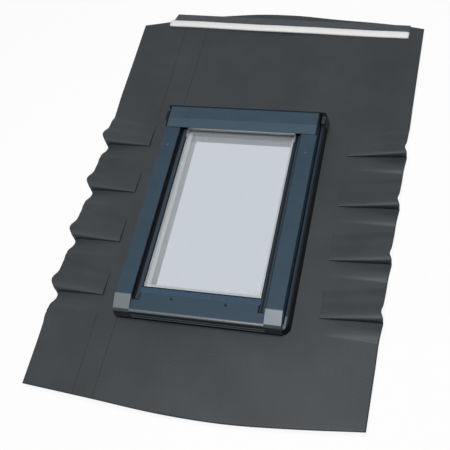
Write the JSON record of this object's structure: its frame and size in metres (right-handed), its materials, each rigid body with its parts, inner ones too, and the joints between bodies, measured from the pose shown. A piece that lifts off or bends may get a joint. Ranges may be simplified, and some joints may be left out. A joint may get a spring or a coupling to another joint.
{
  "type": "roof hatch",
  "caption": "Glazed roof access hatch: top-hung sash in a timber frame with metal covers, roof brackets and a pleated membrane apron.",
  "frame": {"origin": "middle of the four bracket holes, on the batten plane under the roof brackets", "axes": "+X across the roof to the right, +Y up the slope towards the hinges, +Z out of the roof"},
  "size_m": [0.9184, 1.3813, 0.09],
  "materials": {
    "painted_timber": "satin white paint",
    "cladding": "satin powder coat",
    "corner_plastic": "satin",
    "black_plastic": "matt",
    "black_rubber": "matt",
    "glass": "clear",
    "spacer_aluminium": "mill",
    "galvanised_steel": "zinc",
    "handle_plastic": "gloss white",
    "membrane": "matt, fine woven grain",
    "white_foam": "matt"
  },
  "bodies": {
    "frame": {"apron_head_sheet": "membrane", "apron_sill_sheet": "membrane", "apron_skirt_left": "membrane", "apron_skirt_right": "membrane", "bracket_screws": "galvanised_steel", "frame_cladding_left": "cladding", "frame_cladding_right": "cladding", "frame_cladding_sill": "cladding", "frame_head_cover": "cladding", "frame_head_rail": "painted_timber", "frame_seal": "black_rubber", "frame_sill_rail": "painted_timber", "frame_stile_left": "painted_timber", "frame_stile_right": "painted_timber", "handle_keeper": "galvanised_steel", "head_bar": "cladding", "head_corner_left": "corner_plastic", "head_corner_right": "corner_plastic", "head_foam_strip": "white_foam", "hinge_frame_leaf_left": "galvanised_steel", "hinge_frame_leaf_right": "galvanised_steel", "hinge_pin_left": "galvanised_steel", "hinge_pin_right": "galvanised_steel", "roof_bracket_lower_left": "galvanised_steel", "roof_bracket_lower_right": "galvanised_steel", "roof_bracket_upper_left": "galvanised_steel", "roof_bracket_upper_right": "galvanised_steel", "stay_peg": "galvanised_steel"},
    "sash": {"bottom_cover": "cladding", "corner_cap_left": "corner_plastic", "corner_cap_right": "corner_plastic", "cover_liner_left": "black_rubber", "cover_liner_right": "black_rubber", "cover_screws": "galvanised_steel", "glass_inner_pane": "glass", "glass_outer_pane": "glass", "glass_spacer": "spacer_aluminium", "glazing_bead_bottom": "cladding", "glazing_bead_left": "cladding", "glazing_bead_right": "cladding", "glazing_bead_top": "cladding", "glazing_gasket": "black_rubber", "handle_base": "handle_plastic", "hinge_sash_leaf_left": "galvanised_steel", "hinge_sash_leaf_right": "galvanised_steel", "hood": "cladding", "hood_end_cap_left": "black_plastic", "hood_end_cap_right": "black_plastic", "hood_rear_seal": "black_rubber", "sash_bottom_rail": "painted_timber", "sash_stile_left": "painted_timber", "sash_stile_right": "painted_timber", "sash_top_rail": "painted_timber", "side_cover_left": "cladding", "side_cover_right": "cladding", "stay_bracket": "galvanised_steel", "stay_rivet": "galvanised_steel"},
    "handle": {"handle_lever": "handle_plastic", "handle_cam": "galvanised_steel"},
    "stay": {"stay_arm": "galvanised_steel"}
  },
  "joints": [
    {"name": "sash_hinge", "type": "hinge", "parent": "frame", "child": "sash", "pos_m": [0, 0.3255, 0.0645], "axis": [-1, 0, 0], "range_deg": [0, 60]},
    {"name": "handle_turn", "type": "hinge", "parent": "sash", "child": "handle", "pos_m": [-0.11, -0.257, 0], "axis": [0, 0, 1], "range_deg": [0, 90]},
    {"name": "stay_swing", "type": "hinge", "parent": "sash", "child": "stay", "pos_m": [0.135, -0.257, 0], "axis": [0, 0, 1], "range_deg": [-90, 0]}
  ]
}
